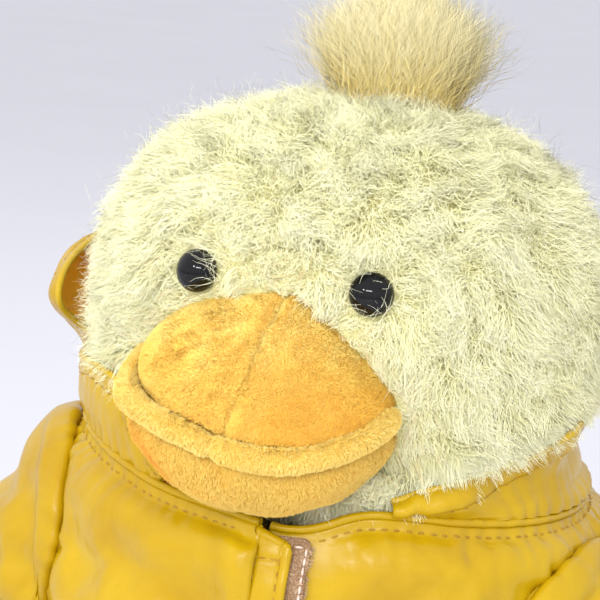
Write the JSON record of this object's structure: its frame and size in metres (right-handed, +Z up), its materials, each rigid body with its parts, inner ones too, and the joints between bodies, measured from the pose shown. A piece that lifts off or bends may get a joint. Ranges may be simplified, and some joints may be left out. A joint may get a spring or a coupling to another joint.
{
  "type": "plush duck",
  "caption": "Seated plush duck with a shaggy domed head, a stuffed orange beak, bead eyes and a crown tuft, in a glossy yellow hooded raincoat with a hook-and-loop front.",
  "frame": {"origin": "bottom centre of the bounding box, on the surface the duck sits on", "axes": "+Z up, the duck faces -Y, +X is the duck's left"},
  "size_m": [0.235, 0.1972, 0.256],
  "materials": {
    "pile": "matte",
    "filling": "matte",
    "pellets": "matte",
    "orange": "matte",
    "lip": "matte",
    "eye": "gloss",
    "washer": "matte",
    "tuft": "matte",
    "coat": "satin",
    "coat_in": "satin",
    "loop": "matte",
    "hook": "matte",
    "base": "matte"
  },
  "bodies": {
    "torso": {"base_panel": "base", "pellet_pouch": "pellets", "body_skin": "pile", "body_fill": "filling", "coat_back": "coat", "coat_front_left": "coat", "coat_front_right": "coat", "neck_piping": "coat", "hem_binding": "coat", "loop_strip": "loop"},
    "neck": {"neck_fill": "filling"},
    "head": {"head_skin": "pile", "head_fill": "filling", "eye_left": "eye", "eye_right": "eye", "eye_washer_left": "washer", "eye_washer_right": "washer", "beak_upper_skin": "orange", "beak_upper_fill": "filling", "beak_lower_skin": "lip", "beak_lower_fill": "filling", "beak_lip": "lip"},
    "tuft_hair": {"tuft": "tuft"},
    "wing_left": {"wing_left_skin": "pile", "wing_left_fill": "filling", "sleeve_left": "coat"},
    "wing_right": {"wing_right_skin": "pile", "wing_right_fill": "filling", "sleeve_right": "coat"},
    "leg_left": {"leg_left_skin": "pile", "leg_left_fill": "filling", "foot_left_skin": "orange", "foot_left_fill": "filling"},
    "leg_right": {"leg_right_skin": "pile", "leg_right_fill": "filling", "foot_right_skin": "orange", "foot_right_fill": "filling"},
    "tail": {"tail_skin": "pile", "tail_fill": "filling"},
    "hood": {"hood_left": "coat_in", "hood_right": "coat_in", "hood_binding": "coat"},
    "placket": {"placket_flap": "coat", "hook_strip": "hook"}
  },
  "joints": [
    {"name": "neck_turn", "type": "hinge", "parent": "torso", "child": "neck", "pos_m": [0, 0.0106, 0.127], "axis": [0, 0, 1], "range_deg": [-20, 20], "stiffness_Nm_per_rad": 0.3},
    {"name": "neck_nod", "type": "hinge", "parent": "neck", "child": "head", "pos_m": [0, 0.0106, 0.127], "axis": [1, 0, 0], "range_deg": [-10, 4], "stiffness_Nm_per_rad": 1.2, "deforming": ["neck_fill"]},
    {"name": "tuft_bend", "type": "hinge", "parent": "head", "child": "tuft_hair", "pos_m": [0.003, 0.0206, 0.218], "axis": [1, 0, 0], "range_deg": [-20, 20], "stiffness_Nm_per_rad": 0.01, "deforming": ["tuft"]},
    {"name": "wing_left_lift", "type": "hinge", "parent": "torso", "child": "wing_left", "pos_m": [0.0735, 0.0106, 0.104], "axis": [0, -1, 0], "range_deg": [-5, 60], "stiffness_Nm_per_rad": 0.08, "deforming": ["sleeve_left"]},
    {"name": "wing_right_lift", "type": "hinge", "parent": "torso", "child": "wing_right", "pos_m": [-0.0735, 0.0106, 0.104], "axis": [0, 1, 0], "range_deg": [-5, 60], "stiffness_Nm_per_rad": 0.08, "deforming": ["sleeve_right"]},
    {"name": "leg_left_spread", "type": "hinge", "parent": "torso", "child": "leg_left", "pos_m": [0.0305, -0.0494, 0.018], "axis": [0, 0, 1], "range_deg": [-8, 24]},
    {"name": "leg_right_spread", "type": "hinge", "parent": "torso", "child": "leg_right", "pos_m": [-0.0305, -0.0494, 0.018], "axis": [0, 0, -1], "range_deg": [-8, 24]},
    {"name": "tail_bend", "type": "hinge", "parent": "torso", "child": "tail", "pos_m": [0, 0.0726, 0.0212], "axis": [1, 0, 0], "range_deg": [-8, 8], "stiffness_Nm_per_rad": 0.03},
    {"name": "hood_fold", "type": "hinge", "parent": "torso", "child": "hood", "pos_m": [0, 0.0486, 0.133], "axis": [-1, 0, 0], "range_deg": [-5, 20], "deforming": ["hood_left", "hood_right", "hood_binding"]},
    {"name": "placket_open", "type": "hinge", "parent": "torso", "child": "placket", "pos_m": [0.00357, -0.06024, 0.0845], "axis": [-0.0004, -0.1531, -0.9882], "range_deg": [0, 70]}
  ]
}
